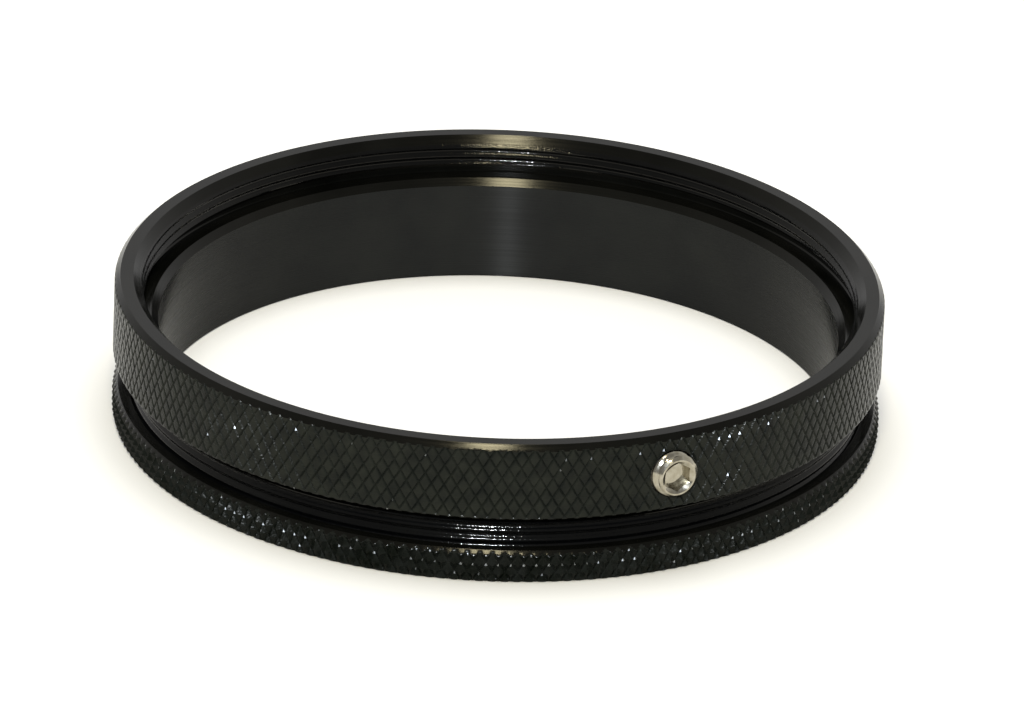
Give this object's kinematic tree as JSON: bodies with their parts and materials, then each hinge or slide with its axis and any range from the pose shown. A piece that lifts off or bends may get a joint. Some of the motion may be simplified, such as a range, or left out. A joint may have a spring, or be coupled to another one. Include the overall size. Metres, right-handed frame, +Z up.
{
  "type": "knurled barrel adapter ring",
  "caption": "Short knurled ring for telescope barrels: internal fine thread over a smooth bore, a knurled lock ring on its neck and a hex-socket lock screw.",
  "frame": {"origin": "centre of the underside, on the axis of the bore", "axes": "+Z up along the bore axis towards the internal thread; +X to the right seen from the front, where the lock screw is on the right"},
  "size_m": [0.0576, 0.0576, 0.011],
  "materials": {
    "body_anodised": "black anodised, satin",
    "ring_anodised": "black anodised, satin",
    "screw_steel": "bright turned stainless",
    "tip_nylon": "matte natural nylon"
  },
  "bodies": {
    "adapter": {"adapter_body": "body_anodised"},
    "lock_ring": {"lock_ring": "ring_anodised"},
    "screw_tip": {"screw_tip": "tip_nylon"},
    "lock_screw": {"lock_screw": "screw_steel"}
  },
  "joints": [
    {"name": "lock_ring_travel", "type": "slide", "parent": "adapter", "child": "lock_ring", "axis": [0, 0, 1], "range_m": [0, 0.0025]},
    {"name": "screw_travel", "type": "slide", "parent": "adapter", "child": "screw_tip", "axis": [0.4563, -0.8898, 0], "range_m": [-0.00119, 0.00119]},
    {"name": "screw_turn", "type": "hinge", "parent": "screw_tip", "child": "lock_screw", "pos_m": [0.01278, -0.02491, 0.00797], "axis": [0.4563, -0.8898, 0], "range_deg": [-540, 540]}
  ],
  "couplings": [
    {"joint": "screw_turn", "follows": "screw_travel", "rad_per_m": 7915.8}
  ]
}
